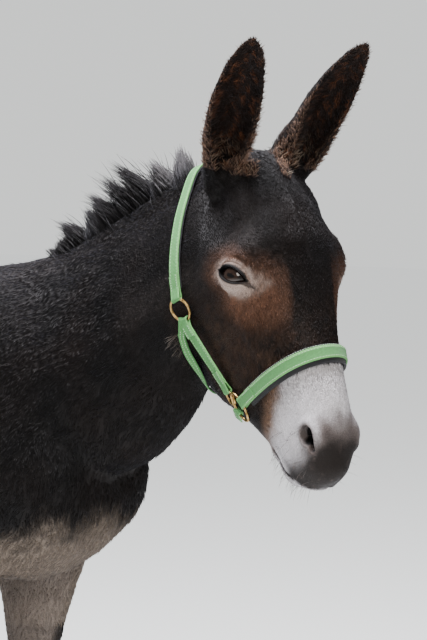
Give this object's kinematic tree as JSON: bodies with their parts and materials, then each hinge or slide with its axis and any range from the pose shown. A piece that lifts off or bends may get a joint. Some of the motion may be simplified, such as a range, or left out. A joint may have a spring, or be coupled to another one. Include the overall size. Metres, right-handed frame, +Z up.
{
  "type": "donkey",
  "caption": "Life-size standing donkey with a dark short coat, upright mane, pale muzzle and eye rings, wearing a green webbing headcollar.",
  "frame": {"origin": "centre of the underside of the bounding box, on the floor between the hooves", "axes": "-Y is the way the donkey faces, +X is its left side, +Z is up"},
  "size_m": [0.4858, 1.7612, 1.4667],
  "materials": {
    "short_dark_coat": "matte",
    "long_dark_hair": "matte",
    "hoof_horn": "satin",
    "dark_eye": "gloss",
    "green_webbing": "matte",
    "brass": "polished"
  },
  "bodies": {
    "root": {"head": "short_dark_coat", "neck": "short_dark_coat", "trunk": "short_dark_coat", "foreleg_right": "short_dark_coat", "hindleg_right": "short_dark_coat", "hoof_fore_right": "hoof_horn", "hoof_hind_right": "hoof_horn", "ear_right": "short_dark_coat", "eye_right": "dark_eye", "cheek_strap_right": "green_webbing", "ring_upper_right": "brass", "ring_lower_right": "brass", "foreleg_left": "short_dark_coat", "hindleg_left": "short_dark_coat", "hoof_fore_left": "hoof_horn", "hoof_hind_left": "hoof_horn", "ear_left": "short_dark_coat", "eye_left": "dark_eye", "cheek_strap_left": "green_webbing", "ring_upper_left": "brass", "ring_lower_left": "brass", "tail": "short_dark_coat", "tail_switch": "long_dark_hair", "mane": "long_dark_hair", "crown_strap": "green_webbing", "noseband": "green_webbing", "chin_strap": "green_webbing", "throat_strap": "green_webbing"}
  },
  "joints": []
}
